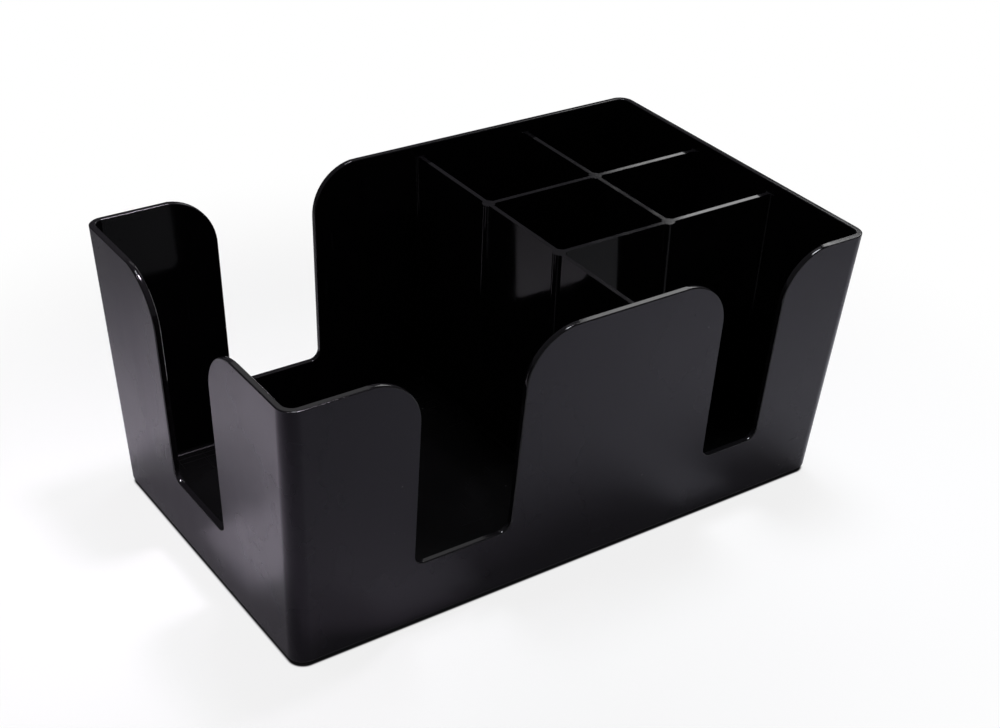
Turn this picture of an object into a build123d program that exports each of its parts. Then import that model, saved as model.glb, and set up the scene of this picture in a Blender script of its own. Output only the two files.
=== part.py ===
from build123d import *

import os

os.makedirs("parts", exist_ok=True)

# A bar caddy: one moulded open-topped tray with six bays and four finger cut-outs,
# standing on four rubber feet. Millimetres. X runs along the length, with the napkin bay
# at -X, Y runs to the back and Z is up. The origin is the middle of the footprint on the
# table.

# outer shell
RIM_LENGTH = 240.0
RIM_WIDTH = 148.0
SHELL_HEIGHT = 105.0        # underside of the floor up to the rim
END_LEAN = 5.7              # how far each end wall leans in between the rim and the floor
SIDE_LEAN = 7.65            # the same for the front and back walls
CORNER_RADIUS = 6.0         # upright corners, in plan
WALL = 2.5
FLOOR = 2.5
BASE_EDGE_RADIUS = 1.2
RIM_EDGE_BREAK = 0.5        # small bevel on both edges of the rim and the cut-outs

# dividers and the posts at their crossings
NAPKIN_DIVIDER_X = 17.2     # full-width divider that closes the napkin bay
SMALL_DIVIDER_X = 67.0      # short divider that parts the four small bays
LANE_OFFSET = 22.75         # two lengthwise dividers, this far each side of the middle
DIVIDER_DROP = 4.5          # divider tops below the rim
DIVIDER_TOP = 1.8           # divider thickness at the top
DIVIDER_DRAFT = 0.4         # thicker by this much on each face down at the floor
POST_DIAMETER = 5.0
BAY_CORNER_RADIUS = 2.0     # upright corners beside a divider
BAY_FLOOR_RADIUS = 1.5      # where walls and dividers meet the floor

# finger cut-outs
CUT_SILL = 25.5             # bottom of every cut-out above the underside
CUT_RIM_RADIUS = 20.0       # sweep from the rim into the cut-out
CUT_SILL_RADIUS = 4.0
WIDE_CUT_SILL_WIDTH = 38.3  # the three cut-outs of the napkin bay
NARROW_CUT_SILL_WIDTH = 25.6    # the one of the long front bay
CUT_SIDE_SPREAD = 2.6       # wider by this much up at the rim

# underside
PANEL_RECESS = 0.5          # shallow recess that keeps the middle of the floor off the table
PANEL_MARGIN = 22.0
PANEL_RADIUS = 5.0
GATE_WELL_DIAMETER = 9.0
GATE_WELL_DEPTH = 0.4
GATE_NUB_DIAMETER = 2.2

# rubber feet
FOOT_DIAMETER = 12.0
FOOT_THICKNESS = 2.5
FOOT_SEAT_DEPTH = 1.0
FOOT_CLEARANCE = 0.15       # all round the foot in its seat
FOOT_EDGE_BREAK = 0.5
FOOT_INSET = 12.0           # foot centre from the edges of the floor

# heights on the table
UNDERSIDE_Z = FOOT_THICKNESS - FOOT_SEAT_DEPTH
BAY_FLOOR_Z = UNDERSIDE_Z + FLOOR
RIM_Z = UNDERSIDE_Z + SHELL_HEIGHT
DIVIDER_TOP_Z = RIM_Z - DIVIDER_DROP

# inner face of the end walls at the rim, and the middles of the two bays with cut-outs
INNER_END_X = RIM_LENGTH / 2 - WALL
NAPKIN_BAY_X = (NAPKIN_DIVIDER_X - DIVIDER_TOP / 2 - INNER_END_X) / 2
LONG_BAY_X = (NAPKIN_DIVIDER_X + DIVIDER_TOP / 2 + INNER_END_X) / 2


def half_length(z):
    """Outer half length of the leaning end walls at height z."""
    return RIM_LENGTH / 2 - END_LEAN * (RIM_Z - z) / SHELL_HEIGHT


def half_width(z):
    """Outer half width of the leaning front and back walls at height z."""
    return RIM_WIDTH / 2 - SIDE_LEAN * (RIM_Z - z) / SHELL_HEIGHT


def divider_half(z):
    """Half thickness of a divider at height z."""
    depth = (DIVIDER_TOP_Z - z) / (DIVIDER_TOP_Z - BAY_FLOOR_Z)
    return DIVIDER_TOP / 2 + DIVIDER_DRAFT * depth


def shell_limits(z, inset):
    """Left, right, front and back of the shell at height z, moved in by inset."""
    x = half_length(z) - inset
    y = half_width(z) - inset
    return -x, x, -y, y


def leaning_block(low, high, low_z, high_z, radii):
    """Block with four flat leaning sides and rounded upright corners.

    low and high are its left, right, front and back limits at the two heights; radii go
    round from the front left corner.
    """
    left, right, front, back = low
    left_up, right_up, front_up, back_up = high
    front_view = [(left, low_z), (right, low_z), (right_up, high_z), (left_up, high_z)]
    end_view = [(front, low_z), (back, low_z), (back_up, high_z), (front_up, high_z)]
    reach = RIM_LENGTH
    lengthwise = extrude(Plane.XZ * make_face(Polyline(*front_view, close=True)), reach, both=True)
    crosswise = extrude(Plane.YZ * make_face(Polyline(*end_view, close=True)), reach, both=True)
    block = lengthwise & crosswise
    xs = [(left + left_up) / 2, (right + right_up) / 2]
    ys = [(front + front_up) / 2, (back + back_up) / 2]
    middle_z = (low_z + high_z) / 2
    corners = [(xs[0], ys[0]), (xs[1], ys[0]), (xs[1], ys[1]), (xs[0], ys[1])]
    for (x, y), radius in zip(corners, radii):
        upright = block.edges().sort_by_distance(Vector(x, y, middle_z))[0]
        block = fillet(upright, radius)
    return block


def round_bottom(block, radius):
    """The block with the edge round its lowest face rounded."""
    lowest = block.faces().sort_by(Axis.Z)[0]
    return fillet(lowest.edges(), radius)


def outer_block():
    """The solid outer form with its rounded bottom edge."""
    low = shell_limits(UNDERSIDE_Z, 0)
    high = shell_limits(RIM_Z, 0)
    block = leaning_block(low, high, UNDERSIDE_Z, RIM_Z, [CORNER_RADIUS] * 4)
    return round_bottom(block, BASE_EDGE_RADIUS)


def bay(left, right, front, back):
    """Hollow of one bay. A limit is a divider position, or None for the shell wall."""
    limits = []
    for z in (BAY_FLOOR_Z, DIVIDER_TOP_Z):
        half = divider_half(z)
        wall_left, wall_right, wall_front, wall_back = shell_limits(z, WALL)
        limits.append((
            wall_left if left is None else left + half,
            wall_right if right is None else right - half,
            wall_front if front is None else front + half,
            wall_back if back is None else back - half,
        ))
    corners = [(left, front), (right, front), (right, back), (left, back)]
    shell_radius = CORNER_RADIUS - WALL
    radii = [shell_radius if pair == (None, None) else BAY_CORNER_RADIUS for pair in corners]
    hollow = leaning_block(limits[0], limits[1], BAY_FLOOR_Z, DIVIDER_TOP_Z, radii)
    return round_bottom(hollow, BAY_FLOOR_RADIUS)


def bays():
    """The napkin bay, the long front bay and the four small bays."""
    first, second = NAPKIN_DIVIDER_X, SMALL_DIVIDER_X
    return [
        bay(None, first, None, None),
        bay(first, None, None, -LANE_OFFSET),
        bay(first, second, -LANE_OFFSET, LANE_OFFSET),
        bay(second, None, -LANE_OFFSET, LANE_OFFSET),
        bay(first, second, LANE_OFFSET, None),
        bay(second, None, LANE_OFFSET, None),
    ]


def space_above_dividers():
    """The shared hollow between the divider tops and the rim."""
    low = shell_limits(DIVIDER_TOP_Z, WALL)
    high = shell_limits(RIM_Z, WALL)
    return leaning_block(low, high, DIVIDER_TOP_Z, RIM_Z, [CORNER_RADIUS - WALL] * 4)


def posts():
    """Round posts that stand where the dividers cross."""
    height = DIVIDER_TOP_Z - UNDERSIDE_Z - FLOOR / 2
    z = DIVIDER_TOP_Z - height / 2
    post = Cylinder(POST_DIAMETER / 2, height)
    places = [(x, y) for x in (NAPKIN_DIVIDER_X, SMALL_DIVIDER_X) for y in (-LANE_OFFSET, LANE_OFFSET)]
    return [Pos(x, y, z) * post for x, y in places]


def cut_profile(sill_width):
    """Outline of a finger cut-out, seen square to its wall, middle at x = 0."""
    sill = CUT_SILL + UNDERSIDE_Z
    low = sill_width / 2
    high = (sill_width + CUT_SIDE_SPREAD) / 2
    wide = high + 1.2 * CUT_RIM_RADIUS
    above = RIM_Z + 5
    points = [
        (-wide, above),
        (-wide, RIM_Z),
        (-high, RIM_Z),
        (-low, sill),
        (low, sill),
        (high, RIM_Z),
        (wide, RIM_Z),
        (wide, above),
    ]
    outline = make_face(Polyline(*points, close=True))
    for x in (-high, high):
        corner = outline.vertices().sort_by_distance(Vector(x, RIM_Z, 0))[0]
        outline = fillet(corner, CUT_RIM_RADIUS)
    for x in (-low, low):
        corner = outline.vertices().sort_by_distance(Vector(x, sill, 0))[0]
        outline = fillet(corner, CUT_SILL_RADIUS)
    return outline


def finger_cuts():
    """Cutters for the three cut-outs of the napkin bay and the one of the long bay."""
    reach = SIDE_LEAN + END_LEAN + 2 * WALL
    wide = extrude(cut_profile(WIDE_CUT_SILL_WIDTH), reach, both=True)
    narrow = extrude(cut_profile(NARROW_CUT_SILL_WIDTH), reach, both=True)
    upright = Rot(X=90)
    facing_end = Rot(Z=90) * Rot(X=90)
    return [
        Pos(NAPKIN_BAY_X, -RIM_WIDTH / 2, 0) * upright * wide,
        Pos(NAPKIN_BAY_X, RIM_WIDTH / 2, 0) * upright * wide,
        Pos(-RIM_LENGTH / 2, 0, 0) * facing_end * wide,
        Pos(LONG_BAY_X, -RIM_WIDTH / 2, 0) * upright * narrow,
    ]


def foot_places():
    """Centres of the four feet, by corner name."""
    x = half_length(UNDERSIDE_Z) - FOOT_INSET
    y = half_width(UNDERSIDE_Z) - FOOT_INSET
    return {
        "front_left": (-x, -y),
        "front_right": (x, -y),
        "back_left": (-x, y),
        "back_right": (x, y),
    }


def underside_cuts():
    """Seats for the feet, the shallow panel and the well round the moulding gate."""
    cuts = []
    seat = Cylinder(FOOT_DIAMETER / 2 + FOOT_CLEARANCE, FOOT_SEAT_DEPTH)
    for x, y in foot_places().values():
        cuts.append(Pos(x, y, UNDERSIDE_Z + FOOT_SEAT_DEPTH / 2) * seat)
    x = half_length(UNDERSIDE_Z) - PANEL_MARGIN
    y = half_width(UNDERSIDE_Z) - PANEL_MARGIN
    outline = RectangleRounded(2 * x, 2 * y, PANEL_RADIUS)
    cuts.append(Pos(0, 0, UNDERSIDE_Z) * extrude(outline, PANEL_RECESS))
    well = Cylinder(GATE_WELL_DIAMETER / 2, GATE_WELL_DEPTH)
    well -= Cylinder(GATE_NUB_DIAMETER / 2, GATE_WELL_DEPTH)
    cuts.append(Pos(0, 0, UNDERSIDE_Z + PANEL_RECESS + GATE_WELL_DEPTH / 2) * well)
    return cuts


def across_wall(face):
    """True for a rim or cut-out face, whose centre lies halfway through the wall."""
    centre = face.center(CenterOf.MASS)
    end_depth = half_length(centre.Z) - abs(centre.X)
    side_depth = half_width(centre.Z) - abs(centre.Y)
    depth = min(end_depth, side_depth)
    return abs(depth - WALL / 2) < WALL / 6 and centre.Z > UNDERSIDE_Z + CUT_SILL / 2


def break_rim_edges(body):
    """Bevel the outer and the inner edge all along the rim and the cut-outs."""
    band = [face for face in body.faces() if across_wall(face)]
    edges = [edge for face in band for edge in face.edges()]
    borders = [edge for edge in edges if sum(edge.is_same(other) for other in edges) == 1]
    return chamfer(borders, RIM_EDGE_BREAK)


def caddy_body():
    """The whole moulding: shell, floor, dividers and posts in one piece."""
    body = outer_block() - space_above_dividers()
    for hollow in bays():
        body -= hollow
    for cutter in finger_cuts():
        body -= cutter
    body = break_rim_edges(body)
    for post in posts():
        body += post
    for cutter in underside_cuts():
        body -= cutter
    return body


def foot():
    """One round rubber foot, bevelled where it meets the table."""
    pad = Pos(0, 0, FOOT_THICKNESS / 2) * Cylinder(FOOT_DIAMETER / 2, FOOT_THICKNESS)
    bottom = pad.faces().sort_by(Axis.Z)[0]
    return chamfer(bottom.edges(), FOOT_EDGE_BREAK)


def sub_parts():
    """Every piece by name, placed as it sits on the table."""
    pieces = {"caddy_body": caddy_body()}
    for corner, (x, y) in foot_places().items():
        pieces["foot_" + corner] = Pos(x, y, 0) * foot()
    return pieces


for name, piece in sub_parts().items():
    export_step(piece, "parts/" + name + ".step")
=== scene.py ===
import math

import bmesh
import bpy
from mathutils import Matrix, Vector


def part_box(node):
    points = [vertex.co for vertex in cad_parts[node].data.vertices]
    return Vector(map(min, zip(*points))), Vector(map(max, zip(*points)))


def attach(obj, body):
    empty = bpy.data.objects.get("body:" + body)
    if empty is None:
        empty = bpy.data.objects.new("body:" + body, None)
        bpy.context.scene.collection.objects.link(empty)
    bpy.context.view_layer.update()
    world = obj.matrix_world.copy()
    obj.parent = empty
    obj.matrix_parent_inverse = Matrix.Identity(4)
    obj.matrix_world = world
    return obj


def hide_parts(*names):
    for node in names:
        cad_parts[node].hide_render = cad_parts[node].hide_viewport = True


# A black moulded bar caddy: a napkin bay, a long front bay and four small bays in one
# leaning-walled tray, with finger cut-outs and four rubber feet. Metres. X runs along the
# length, Y to the back, Z up from the table.

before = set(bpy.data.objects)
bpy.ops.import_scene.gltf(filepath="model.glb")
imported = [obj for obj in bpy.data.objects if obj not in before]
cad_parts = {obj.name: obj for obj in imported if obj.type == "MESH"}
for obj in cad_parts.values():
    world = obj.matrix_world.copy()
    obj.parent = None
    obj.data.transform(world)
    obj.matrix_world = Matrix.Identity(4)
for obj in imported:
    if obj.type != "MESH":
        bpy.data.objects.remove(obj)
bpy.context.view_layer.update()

# sizes of the moulding that the frame was built to
RIM_LENGTH = 0.240
RIM_WIDTH = 0.148
SHELL_HEIGHT = 0.105
END_LEAN = 0.0057           # how far each end wall leans in between the rim and the floor
SIDE_LEAN = 0.00765         # the same for the front and back walls
CORNER_RADIUS = 0.006
WALL = 0.0025
BASE_EDGE_RADIUS = 0.0012
UNDERSIDE_Z = 0.0015
BAY_FLOOR_Z = 0.004
RIM_Z = 0.1065
DIVIDER_TOP_Z = 0.102
FOOT_NAMES = ("foot_front_left", "foot_front_right", "foot_back_left", "foot_back_right")

# what the dressed moulding gets beyond the frame's surface
DIVIDER_EDGE_ROUNDING = 0.0008
DIVIDER_EDGE_STEPS = 3
DIVIDER_EDGE_ANGLE = 60     # the edges rounded turn more than this, in degrees
RIM_TIP = 0.065             # slope of the rim's top, which is square to the leaning wall
RIM_TIP_DEPTH = 0.00005     # the corners of the mesh tipped with it lie no deeper than this
BEVEL_WIDTH = 0.0008        # faces narrower than this shade as roundings
SHARP_ANGLE = 50            # an edge that turns more than this, in degrees, stays sharp
SAME_POINT = 0.000002       # corners of the mesh nearer than this become one
SAME_PLANE = 0.15           # faces that turn less than this, in degrees, become one
SAME_HEIGHT = 0.00002       # what is this near the divider tops' height lies on them

# where the body's finishes end; the last four are heights of a face's unit normal
SKIN = 0.0001               # a face this near a surface of the wall lies on it
BURNISHED_DEPTH = 0.0005    # how far below the divider tops their burnish reaches
FLOOR_WEAR_HEIGHT = 0.0020  # how far the bay floors' wear climbs their fillets
FLAT_BELOW = -0.85
FACING_DOWN = -0.5
LEANING_UP = 0.10
FACING_UP = 0.3

FOOT_STEPS = 64
FOOT_SHARP_ANGLE = 40

# how strongly each finish mirrors
SATIN_LEVEL = 0.25
POLISH_LEVEL = 0.08
BAY_FLOOR_LEVEL = 0.035
EDGE_LEVEL = 0.25
UNDERSIDE_LEVEL = 0.45
RUBBER_LEVEL = 0.35

# how far the paper is lifted to plain white where it is seen, from near the caddy to far
# from it, and where it is mirrored
PAPER_LIFT = 0.85
PAPER_LIFT_FAR = 1.0
PAPER_LIFT_MIRRORED = 0.06
PAPER_NEAR = 0.15
PAPER_FAR = 0.29
PAPER_DIM_START = 0.45      # the paper's colour darkens to a dim grey between these, painted shade of a dim studio round the lit pool
PAPER_DIM_END = 0.8
CONTACT_SHADOW_START = -0.0008     # the painted contact shadow under the caddy, a dark grey in the paper's colour, ends between these, measured outwards from the outline of its underside
CONTACT_SHADOW_END = 0.0003        # outwards from the outline of its underside
PAPER_REACH = 8.0           # half the paper's side
WHITE = (1.0, 1.0, 1.0, 1.0)

# the studio round the caddy: a low band and the part above it, each dim behind and to the
# right and paler in front and to the left
WORLD_LOW = 0.20
WORLD_LOW_BACK = 0.04
WORLD_BACK = 0.11
WORLD_FRONT = 0.20
WORLD_PALER_SIDE = (-0.6, -0.8, 0.0)
WORLD_DIM_FROM = -0.6
WORLD_PALE_FROM = 0.8
WORLD_LOW_HEIGHT = 0.07
WORLD_TINT = (0.98, 0.95, 1.06, 1.0)

# round lamps: name, place, aim, radius, cone in degrees, softness of its edge, watts, colour
COOL = (0.95, 0.97, 1.05)
VIOLET = (1.04, 0.93, 1.10)
SPOTLIGHTS = (
    ("overhead_left", (0.18, 0.035, 1.08), (-0.165, 0.031, 0.0), 0.10, 16.1, 0.85, 48.0, VIOLET),
    ("left_fill", (-0.33, 0.02, 1.05), (-0.15, 0.02, 0.0), 0.08, 13.0, 1.0, 10.5, VIOLET),
    ("overhead_right", (0.20, 0.16, 1.08), (0.14, -0.125, 0.0), 0.20, 29.5, 1.0, 49.0, COOL),
)
# soft boxes: name, place, aim, width, height, watts
SOFTBOXES = (
    ("right_back", (0.947, 0.619, 0.82), (0.069, -0.013, 0.1), 0.518, 0.54, 2.92),
    ("right_back_low", (0.876, 0.949, 0.619), (0.207, 0.464, 0.057), 0.10, 0.08, 0.083),
    ("back", (0.488, 0.919, 1.037), (0.0, 0.0, 0.1), 0.4, 0.4, 0.32),
)

# the photograph's frame and the camera fitted to it
FRAME_WIDTH = 1000
FRAME_HEIGHT = 728
SENSOR = 36.0
FOCAL_PIXELS = 1783.54
MIDDLE_PIXEL = (571.14, 350.9)
CAMERA_PLACE = (-0.32428, -0.4732, 0.3947)
CAMERA_AZIMUTH = -37.82
CAMERA_ELEVATION = 30.51
CAMERA_ROLL = 3.70


# ---------------------------------------------------------------- finishes


class Nodes:
    """A shader's node tree. Each method adds a node and gives back its result."""

    def __init__(self, owner):
        owner.use_nodes = True
        self.tree = owner.node_tree
        self.tree.nodes.clear()

    def add(self, kind, inputs=None, **settings):
        """A node with these settings; an input takes a plain value or another result."""
        node = self.tree.nodes.new(kind)
        for key, value in settings.items():
            setattr(node, key, value)
        for key, value in (inputs or {}).items():
            if isinstance(value, bpy.types.NodeSocket):
                self.tree.links.new(value, node.inputs[key])
            else:
                node.inputs[key].default_value = value
        return node

    def maths(self, kind, *values):
        """One step of arithmetic, such as ADD or MULTIPLY."""
        return self.add("ShaderNodeMath", dict(enumerate(values)), operation=kind).outputs[0]

    def vector(self, kind, *values):
        """The same for vectors; a length or a dot product is the result called Value."""
        return self.add("ShaderNodeVectorMath", dict(enumerate(values)), operation=kind).outputs

    def band(self, value, start, end, low=0.0, high=1.0, shape="SMOOTHSTEP"):
        """Value read from start to end and given out from low to high, held beyond."""
        inputs = {
            "Value": value, "From Min": start, "From Max": end, "To Min": low, "To Max": high,
        }
        return self.add("ShaderNodeMapRange", inputs, interpolation_type=shape).outputs["Result"]

    def mix_shaders(self, share, first, second):
        """Shader mixed from first to second."""
        return self.add("ShaderNodeMixShader", {0: share, 1: first, 2: second}).outputs[0]


class Finish(Nodes):
    """One material, laid over Object coordinates. Scales are per metre, depths in metres."""

    def __init__(self, name):
        self.material = bpy.data.materials.new(name)
        super().__init__(self.material)
        self.place = self.add("ShaderNodeTexCoord").outputs["Object"]

    def axis(self, name):
        """Object coordinate along X, Y or Z."""
        return self.add("ShaderNodeSeparateXYZ", {"Vector": self.place}).outputs[name]

    def stretched(self, scale):
        """Object coordinates scaled by a different amount along each axis."""
        inputs = {"Vector": self.place, "Scale": scale}
        return self.add("ShaderNodeMapping", inputs).outputs["Vector"]

    def noise(self, scale, detail=2.0, place=None, **inputs):
        """Soft noise about 0.5, over Object coordinates or over another place."""
        values = {"Vector": place or self.place, "Scale": scale, "Detail": detail}
        values.update(inputs)
        return self.add("ShaderNodeTexNoise", values).outputs["Fac"]

    def specks(self, scale):
        """Distance to the nearest of many scattered points, 0 at a point."""
        values = {"Vector": self.place, "Scale": scale}
        return self.add("ShaderNodeTexVoronoi", values).outputs["Distance"]

    def blend(self, share, first, second):
        """Colour mixed from first to second."""
        inputs = {"Factor": share, 6: first, 7: second}
        return self.add("ShaderNodeMix", inputs, data_type="RGBA").outputs[2]

    def relief(self, height, depth, normal=None):
        """Normal of a surface that rises by depth where height is 1, over any relief before."""
        inputs = {"Height": height, "Distance": depth, "Strength": 1.0}
        if normal is not None:
            inputs["Normal"] = normal
        return self.add("ShaderNodeBump", inputs).outputs["Normal"]

    def finish(self, colour, roughness, normal, level, **inputs):
        """Closes the tree with a Principled shader and gives back the material."""
        values = {
            "Base Color": colour, "Roughness": roughness, "Normal": normal,
            "Specular IOR Level": level,
        }
        values.update(inputs)
        shader = self.add("ShaderNodeBsdfPrincipled", values)
        self.add("ShaderNodeOutputMaterial", {"Surface": shader.outputs[0]})
        return self.material


def grey(value, warmth=0.0, violet=0.0):
    """A grey with a little warmth or violet in it."""
    return (value * (1 + warmth + violet), value, value * (1 - warmth + 1.6 * violet), 1.0)


def satin_outside():
    """Spark-textured outside of the walls, scuffed in patches and rubbed at the foot."""
    f = Finish("satin_outside")
    grain = f.noise(2300.0, 2.0)
    pebble = f.noise(820.0, 3.0)
    swell = f.noise(36.0, 1.0)
    cloud = f.noise(19.0, 4.0)
    streak = f.noise(1.0, 3.0, f.stretched((95.0, 95.0, 9.0)))
    scuff = f.band(f.noise(1.0, 2.0, f.stretched((34.0, 34.0, 1500.0))), 0.66, 0.78)
    patch = f.band(f.noise(14.0, 2.0), 0.52, 0.66)
    scuffed = f.maths("MULTIPLY", f.maths("MULTIPLY", scuff, patch), 0.4)
    foot_wear = f.maths("MULTIPLY", f.band(f.axis("Z"), 0.016, 0.002), 0.3)
    rubbed = f.maths("MAXIMUM", scuffed, foot_wear)
    dust = f.band(f.specks(150.0), 0.075, 0.03)
    dusty = f.maths("MULTIPLY", dust, f.band(f.noise(27.0, 1.0), 0.5, 0.7))
    colour = f.blend(cloud, grey(0.0030, violet=0.12), grey(0.0050, violet=0.12))
    colour = f.blend(f.maths("MULTIPLY", pebble, 0.3), colour, grey(0.0075, violet=0.10))
    colour = f.blend(rubbed, colour, grey(0.010, violet=0.05))
    colour = f.blend(f.maths("MULTIPLY", dusty, 0.5), colour, grey(0.12, warmth=0.05))
    streaked = f.maths("MULTIPLY", f.maths("SUBTRACT", streak, 0.5), 0.08)
    roughness = f.maths("ADD", f.band(cloud, 0.3, 0.7, 0.23, 0.32), streaked)
    roughness = f.maths("ADD", roughness, f.maths("MULTIPLY", rubbed, -0.05))
    normal = f.relief(grain, 0.000010)
    normal = f.relief(pebble, 0.000014, normal)
    normal = f.relief(swell, 0.00008, normal)
    return f.finish(colour, roughness, normal, SATIN_LEVEL, **{
        "Specular Tint": (0.90, 0.84, 1.0, 1.0),
        "Sheen Weight": 0.02, "Sheen Roughness": 0.45, "Sheen Tint": (0.62, 0.50, 1.0, 1.0),
    })


def polished_inside():
    """Polished inner walls and dividers with faint draw lines and smears."""
    f = Finish("polished_inside")
    draw = f.noise(1.0, 3.0, f.stretched((1300.0, 1300.0, 22.0)))
    smear = f.noise(38.0, 4.0, Distortion=0.6)
    haze = f.band(smear, 0.45, 0.75)
    hair = f.band(f.noise(1.0, 2.0, f.stretched((300.0, 300.0, 30.0))), 0.70, 0.76)
    hazed = f.maths("MULTIPLY", haze, 0.6)
    colour = f.blend(hazed, grey(0.0020, violet=0.1), grey(0.0036, violet=0.1))
    colour = f.blend(f.maths("MULTIPLY", hair, 0.4), colour, grey(0.009, violet=0.1))
    roughness = f.band(smear, 0.3, 0.75, 0.04, 0.09)
    roughness = f.maths("ADD", roughness, f.maths("MULTIPLY", hair, 0.12))
    normal = f.relief(draw, 0.0000008)
    normal = f.relief(f.noise(60.0, 1.0), 0.000006, normal)
    return f.finish(colour, roughness, normal, POLISH_LEVEL)


def bay_floor_finish():
    """Bay floors: the same polish, dulled by what slides about on them."""
    f = Finish("bay_floors")
    across = f.band(f.noise(1.0, 2.0, f.stretched((900.0, 28.0, 10.0))), 0.62, 0.72)
    along = f.band(f.noise(1.0, 2.0, f.stretched((28.0, 900.0, 10.0))), 0.62, 0.72)
    used = f.band(f.noise(24.0, 2.0), 0.45, 0.65)
    scratch = f.maths("MULTIPLY", f.maths("MAXIMUM", across, along), used)
    worn = f.band(f.noise(17.0, 4.0), 0.35, 0.75)
    dust = f.band(f.specks(240.0), 0.10, 0.04)
    dusty = f.maths("MULTIPLY", dust, f.band(f.noise(30.0, 1.0), 0.5, 0.65))
    colour = f.blend(worn, grey(0.0022), grey(0.0040))
    colour = f.blend(f.maths("MULTIPLY", scratch, 0.3), colour, grey(0.008))
    colour = f.blend(f.maths("MULTIPLY", dusty, 0.4), colour, grey(0.10, warmth=0.04))
    roughness = f.band(worn, 0.0, 1.0, 0.20, 0.34)
    roughness = f.maths("ADD", roughness, f.maths("MULTIPLY", scratch, 0.15))
    normal = f.relief(scratch, -0.000003)
    normal = f.relief(f.noise(1400.0, 2.0), 0.000004, normal)
    return f.finish(colour, roughness, normal, BAY_FLOOR_LEVEL)


def rim_finish():
    """Rim, cut-out edges and divider tops, burnished and finely nicked by hands."""
    f = Finish("burnished_edges")
    fine = f.noise(1500.0, 3.0)
    along = f.noise(110.0, 4.0)
    nick = f.band(f.specks(420.0), 0.09, 0.04)
    nicked = f.maths("MULTIPLY", nick, f.band(f.noise(60.0, 1.0), 0.52, 0.68))
    colour = f.blend(along, grey(0.0035, violet=0.06), grey(0.0065, violet=0.06))
    colour = f.blend(f.maths("MULTIPLY", nicked, 0.4), colour, grey(0.035))
    roughness = f.band(along, 0.3, 0.7, 0.05, 0.10)
    roughness = f.maths("ADD", roughness, f.maths("MULTIPLY", fine, 0.03))
    normal = f.relief(fine, 0.000004)
    normal = f.relief(nicked, -0.00003, normal)
    return f.finish(colour, roughness, normal, EDGE_LEVEL)


def underside_finish():
    """Underside: coarser texture with cutter rings, scraped by being slid over counters."""
    f = Finish("scraped_underside")
    grain = f.noise(1500.0, 3.0)
    cloud = f.noise(16.0, 4.0)
    scrape = f.band(f.noise(1.0, 3.0, f.stretched((1100.0, 22.0, 10.0))), 0.60, 0.72)
    scraped = f.maths("MULTIPLY", scrape, f.band(f.noise(21.0, 2.0), 0.4, 0.6))
    flat = f.vector("MULTIPLY", f.place, (1.0, 1.0, 0.0))[0]
    reach = f.vector("LENGTH", flat)["Value"]
    rings = f.maths("SINE", f.maths("MULTIPLY", reach, 9000.0))
    colour = f.blend(cloud, grey(0.012), grey(0.018))
    colour = f.blend(f.maths("MULTIPLY", scraped, 0.6), colour, grey(0.04))
    roughness = f.band(cloud, 0.3, 0.7, 0.42, 0.55)
    roughness = f.maths("ADD", roughness, f.maths("MULTIPLY", scraped, -0.1))
    normal = f.relief(grain, 0.000012)
    normal = f.relief(rings, 0.0000015, normal)
    normal = f.relief(scraped, -0.00001, normal)
    return f.finish(colour, roughness, normal, UNDERSIDE_LEVEL)


def foot_rubber_finish():
    """Matt black rubber with a fine skin, dusty where it meets the table."""
    f = Finish("foot_rubber")
    skin = f.noise(2600.0, 3.0)
    mottle = f.noise(240.0, 3.0)
    low = f.band(f.axis("Z"), 0.0009, 0.0001)
    lint = f.band(f.noise(1.0, 2.0, f.stretched((700.0, 160.0, 300.0))), 0.66, 0.74)
    colour = f.blend(mottle, grey(0.012), grey(0.022))
    colour = f.blend(f.maths("MULTIPLY", low, 0.4), colour, grey(0.05, warmth=0.04))
    colour = f.blend(f.maths("MULTIPLY", lint, 0.25), colour, grey(0.14, warmth=0.03))
    roughness = f.band(mottle, 0.3, 0.7, 0.66, 0.82)
    normal = f.relief(skin, 0.000018)
    normal = f.relief(mottle, 0.00003, normal)
    return f.finish(colour, roughness, normal, RUBBER_LEVEL)


def outline_distance(f):
    """Distance on the floor outwards from the outline of the caddy's underside."""
    half = (
        RIM_LENGTH / 2 - END_LEAN - CORNER_RADIUS,
        RIM_WIDTH / 2 - SIDE_LEAN - CORNER_RADIUS,
        0.0,
    )
    spread = f.vector("ABSOLUTE", f.place)[0]
    spread = f.vector("SUBTRACT", spread, half)[0]
    spread = f.vector("MAXIMUM", spread, (0.0, 0.0, 0.0))[0]
    return f.maths("SUBTRACT", f.vector("LENGTH", spread)["Value"], CORNER_RADIUS)


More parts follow.
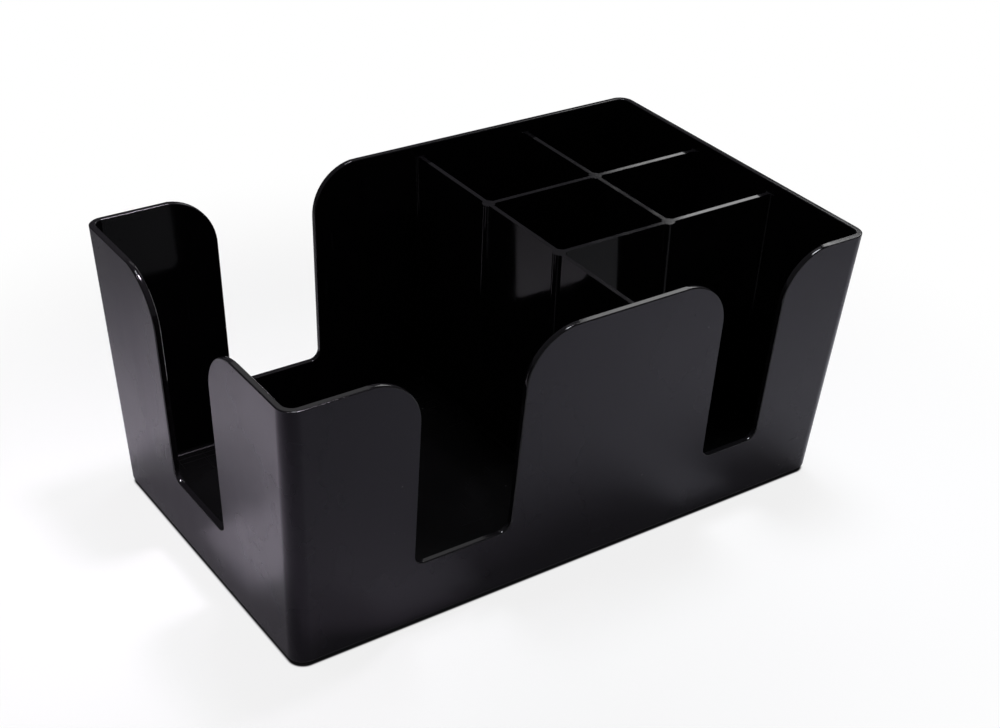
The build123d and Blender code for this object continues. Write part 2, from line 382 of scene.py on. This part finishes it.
def studio_floor_finish():
    """Pale sweep of paper; the camera sees it white, and it keeps the soft shadow. Its colour
    also holds painted shade: a dark contact shadow under the caddy and a dimming far from it.
    """
    f = Finish("studio_paper")
    fibre = f.noise(420.0, 3.0)
    reach = f.vector("LENGTH", f.place)["Value"]
    clear = f.band(outline_distance(f), CONTACT_SHADOW_START, CONTACT_SHADOW_END)
    colour = f.blend(f.noise(3.0, 2.0), grey(0.93), grey(0.95))
    # painted shade: the paper's colour darkens far from the caddy, standing in for the light
    # falling off
    colour = f.blend(f.band(reach, PAPER_DIM_START, PAPER_DIM_END), colour, grey(0.10))
    # painted contact shadow: the paper's colour turns dark grey under the caddy
    colour = f.blend(clear, grey(0.08), colour)
    values = {"Color": colour, "Normal": f.relief(fibre, 0.00002)}
    paper = f.add("ShaderNodeBsdfDiffuse", values).outputs[0]
    white = f.add("ShaderNodeEmission", {"Color": WHITE, "Strength": 1.0}).outputs[0]
    path = f.add("ShaderNodeLightPath").outputs
    bounced = f.maths("MAXIMUM", path["Is Glossy Ray"], path["Is Transmission Ray"])
    mirrored = f.maths("MULTIPLY", bounced, PAPER_LIFT_MIRRORED)
    seen = f.band(reach, PAPER_NEAR, PAPER_FAR, PAPER_LIFT, PAPER_LIFT_FAR)
    seen = f.maths("MULTIPLY", seen, clear)
    lift = f.maths("MULTIPLY_ADD", path["Is Camera Ray"], seen, mirrored)
    f.add("ShaderNodeOutputMaterial", {"Surface": f.mix_shaders(lift, paper, white)})
    return f.material


# ---------------------------------------------------------------- the moulding


def shell_depth(point):
    """How far a point lies inside the outer surface of the leaning walls."""
    drop = (RIM_Z - point.z) / SHELL_HEIGHT
    across = abs(point.x) - (RIM_LENGTH / 2 - END_LEAN * drop) + CORNER_RADIUS
    along = abs(point.y) - (RIM_WIDTH / 2 - SIDE_LEAN * drop) + CORNER_RADIUS
    outside = math.hypot(max(across, 0.0), max(along, 0.0))
    return CORNER_RADIUS - outside - min(max(across, along), 0.0)


# the body's material slots, in the order in which make_body fills them
OUTSIDE, INSIDE, EDGES, FLOORS, UNDERNEATH = range(5)


def place_of_finish(face):
    """Which of the body's finishes a face has, from where it lies."""
    middle = face.calc_center_median()
    normal = face.normal
    depth = shell_depth(middle)
    below_floors = middle.z < BAY_FLOOR_Z - 2 * SKIN and normal.z < FACING_DOWN
    if below_floors or middle.z < UNDERSIDE_Z + BASE_EDGE_RADIUS:
        recessed = middle.z > UNDERSIDE_Z + SKIN and depth > WALL
        return UNDERNEATH if normal.z < FLAT_BELOW or recessed else OUTSIDE
    if depth < SKIN:
        return OUTSIDE
    if depth < WALL - SKIN:
        return EDGES
    if normal.z > FACING_UP and middle.z > DIVIDER_TOP_Z - BURNISHED_DEPTH:
        return EDGES
    if normal.z > LEANING_UP and middle.z < BAY_FLOOR_Z + FLOOR_WEAR_HEIGHT:
        return FLOORS
    return INSIDE


def link(name, form):
    """A new object that holds the finished mesh."""
    mesh = bpy.data.meshes.new(name)
    form.to_mesh(mesh)
    form.free()
    piece = bpy.data.objects.new(name, mesh)
    bpy.context.scene.collection.objects.link(piece)
    return piece


def smooth_by_angle(form, degrees):
    """Shades the faces smooth and keeps an edge sharp where they turn more than this."""
    for face in form.faces:
        face.smooth = True
    for edge in form.edges:
        if len(edge.link_faces) == 2 and edge.calc_face_angle() > math.radians(degrees):
            edge.smooth = False


def round_shading(piece):
    """Corner normals taken from the broad faces, so that a narrow bevel shades as a rounding."""
    form = bmesh.new()
    form.from_mesh(piece.data)
    form.normal_update()
    size = {face: face.calc_area() for face in form.faces}
    broad = {
        face: size[face] > BEVEL_WIDTH * max(edge.calc_length() for edge in face.edges)
        for face in form.faces
    }
    nearly = math.cos(math.radians(SHARP_ANGLE))
    normals = []
    for face in form.faces:
        for loop in face.loops:
            around = loop.vert.link_faces
            beside = [other for other in around if other.normal.dot(face.normal) > nearly]
            chosen = [other for other in beside if broad[other]] or beside
            total = sum((other.normal * size[other] for other in chosen), Vector())
            normals.append(total.normalized() if total.length > 0 else face.normal.copy())
    form.free()
    piece.data.normals_split_custom_set(normals)


def divider_top_edges(form):
    """Outward edges all along the tops of the dividers and posts."""
    found = []
    for edge in form.edges:
        if any(abs(vert.co.z - DIVIDER_TOP_Z) > SAME_HEIGHT for vert in edge.verts):
            continue
        if len(edge.link_faces) != 2:
            continue
        if edge.calc_face_angle_signed() >= math.radians(DIVIDER_EDGE_ANGLE):
            found.append(edge)
    return found


def square_rim(form):
    """Tips the rim's flat top outwards, so that it is square to the leaning wall."""
    for vert in form.verts:
        if vert.co.z > RIM_Z - RIM_TIP_DEPTH:
            vert.co.z -= RIM_TIP * min(max(WALL - shell_depth(vert.co), 0.0), WALL)


def make_body():
    """The one-piece moulding, from the frame's own surface, with its tops rounded."""
    form = bmesh.new()
    form.from_mesh(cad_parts["caddy_body"].data)
    bmesh.ops.remove_doubles(form, verts=form.verts, dist=SAME_POINT)
    bmesh.ops.dissolve_limit(
        form, angle_limit=math.radians(SAME_PLANE), use_dissolve_boundaries=False,
        verts=form.verts, edges=form.edges, delimit=set(),
    )
    form.normal_update()
    bmesh.ops.bevel(
        form, geom=divider_top_edges(form), offset=DIVIDER_EDGE_ROUNDING, offset_type="OFFSET",
        segments=DIVIDER_EDGE_STEPS, profile=0.5, affect="EDGES", clamp_overlap=True,
        material=-1,
    )
    square_rim(form)
    form.normal_update()
    for face in form.faces:
        face.material_index = place_of_finish(face)
    smooth_by_angle(form, SHARP_ANGLE)
    body = link("moulded_body", form)
    finishes = (satin_outside, polished_inside, rim_finish, bay_floor_finish, underside_finish)
    for finish in finishes:
        body.data.materials.append(finish())
    round_shading(body)
    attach(body, "root")
    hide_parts("caddy_body")


def make_foot(name, material):
    """One pressed-in rubber foot, turned from its half section."""
    low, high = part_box(name)
    middle = (low + high) / 2
    radius = (high.x - low.x) / 2
    top = high.z
    form = bmesh.new()
    # flat top in the seat, upright side, rounded lower edge and a dished middle
    section = [
        (0.0, top), (radius * 0.92, top), (radius, top - 0.0002), (radius, 0.0010),
        (radius - 0.00012, 0.00055), (radius - 0.0004, 0.00018), (radius - 0.0010, 0.0),
        (radius * 0.62, 0.0), (radius * 0.56, 0.0001), (radius * 0.50, 0.0003), (0.0, 0.00035),
    ]
    verts = [form.verts.new((x, 0.0, z)) for x, z in section]
    edges = [form.edges.new(pair) for pair in zip(verts, verts[1:])]
    bmesh.ops.spin(
        form, geom=verts + edges, cent=(0, 0, 0), axis=(0, 0, 1), dvec=(0, 0, 0),
        angle=math.tau, steps=FOOT_STEPS, use_merge=True, use_duplicate=False,
    )
    bmesh.ops.remove_doubles(form, verts=form.verts, dist=SAME_POINT)
    bmesh.ops.recalc_face_normals(form, faces=form.faces)
    bmesh.ops.translate(form, verts=form.verts, vec=(middle.x, middle.y, 0.0))
    smooth_by_angle(form, FOOT_SHARP_ANGLE)
    foot = link("rubber_" + name, form)
    foot.data.materials.append(material)
    round_shading(foot)
    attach(foot, "root")
    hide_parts(name)


# ---------------------------------------------------------------- the studio


def make_floor():
    """The sweep of paper that the caddy stands on."""
    form = bmesh.new()
    bmesh.ops.create_grid(form, x_segments=8, y_segments=8, size=PAPER_REACH)
    floor = link("studio_floor", form)
    floor.data.materials.append(studio_floor_finish())


def hang(lamp, place, aim):
    """Puts a lamp at its place, facing its aim."""
    holder = bpy.data.objects.new(lamp.name, lamp)
    bpy.context.scene.collection.objects.link(holder)
    holder.location = place
    holder.rotation_euler = (Vector(aim) - Vector(place)).to_track_quat("-Z", "Y").to_euler()


def softbox(name, place, aim, width, height, watts):
    """A rectangular soft lamp."""
    lamp = bpy.data.lights.new(name, "AREA")
    lamp.shape = "RECTANGLE"
    lamp.size = width
    lamp.size_y = height
    lamp.energy = watts
    hang(lamp, place, aim)


def spotlight(name, place, aim, radius, cone, softness, watts, colour):
    """A round soft lamp that lights a pool."""
    lamp = bpy.data.lights.new(name, "SPOT")
    lamp.shadow_soft_size = radius
    lamp.spot_size = math.radians(cone)
    lamp.spot_blend = softness
    lamp.energy = watts
    lamp.color = colour
    hang(lamp, place, aim)


def light_world():
    """A dim studio, paler in front and to the left, white where the camera sees it."""
    world = bpy.data.worlds.new("pale_studio")
    w = Nodes(world)
    place = w.add("ShaderNodeTexCoord").outputs["Generated"]
    height = w.add("ShaderNodeSeparateXYZ", {"Vector": place}).outputs["Z"]
    side = w.vector("DOT_PRODUCT", place, WORLD_PALER_SIDE)["Value"]
    reach = (side, WORLD_DIM_FROM, WORLD_PALE_FROM)
    low = w.band(*reach, WORLD_LOW_BACK, WORLD_LOW, shape="LINEAR")
    high = w.band(*reach, WORLD_BACK, WORLD_FRONT, shape="LINEAR")
    strength = w.band(height, 0.0, WORLD_LOW_HEIGHT, low, high, shape="LINEAR")
    glow = w.add("ShaderNodeBackground", {"Color": WORLD_TINT, "Strength": strength}).outputs[0]
    white = w.add("ShaderNodeBackground", {"Color": WHITE, "Strength": 1.0}).outputs[0]
    seen = w.add("ShaderNodeLightPath").outputs["Is Camera Ray"]
    w.add("ShaderNodeOutputWorld", {"Surface": w.mix_shaders(seen, glow, white)})
    bpy.context.scene.world = world


def make_camera():
    """The camera at the photograph's place, with its lens, roll and framing."""
    azimuth, elevation, roll = (
        math.radians(angle) for angle in (CAMERA_AZIMUTH, CAMERA_ELEVATION, CAMERA_ROLL)
    )
    back = Vector((
        math.sin(azimuth) * math.cos(elevation),
        -math.cos(azimuth) * math.cos(elevation),
        math.sin(elevation),
    ))
    level = Vector((math.cos(azimuth), math.sin(azimuth), 0.0))
    upright = back.cross(level)
    right = math.cos(roll) * level + math.sin(roll) * upright
    up = -math.sin(roll) * level + math.cos(roll) * upright
    lens = bpy.data.cameras.new("photo_camera")
    lens.sensor_width = SENSOR
    lens.lens = FOCAL_PIXELS * SENSOR / FRAME_WIDTH
    lens.shift_x = (FRAME_WIDTH / 2 - MIDDLE_PIXEL[0]) / FRAME_WIDTH
    lens.shift_y = (MIDDLE_PIXEL[1] - FRAME_HEIGHT / 2) / FRAME_WIDTH
    lens.clip_start = 0.01
    lens.clip_end = 20.0
    camera = bpy.data.objects.new("photo_camera", lens)
    bpy.context.scene.collection.objects.link(camera)
    turn = Matrix((right, up, back)).transposed().to_4x4()
    camera.matrix_world = Matrix.Translation(CAMERA_PLACE) @ turn
    bpy.context.scene.camera = camera


make_camera()
make_body()
rubber = foot_rubber_finish()
for foot_name in FOOT_NAMES:
    make_foot(foot_name, rubber)
make_floor()
light_world()
for lamp in SPOTLIGHTS:
    spotlight(*lamp)
for box in SOFTBOXES:
    softbox(*box)
bpy.context.scene.view_settings.view_transform = "Standard"
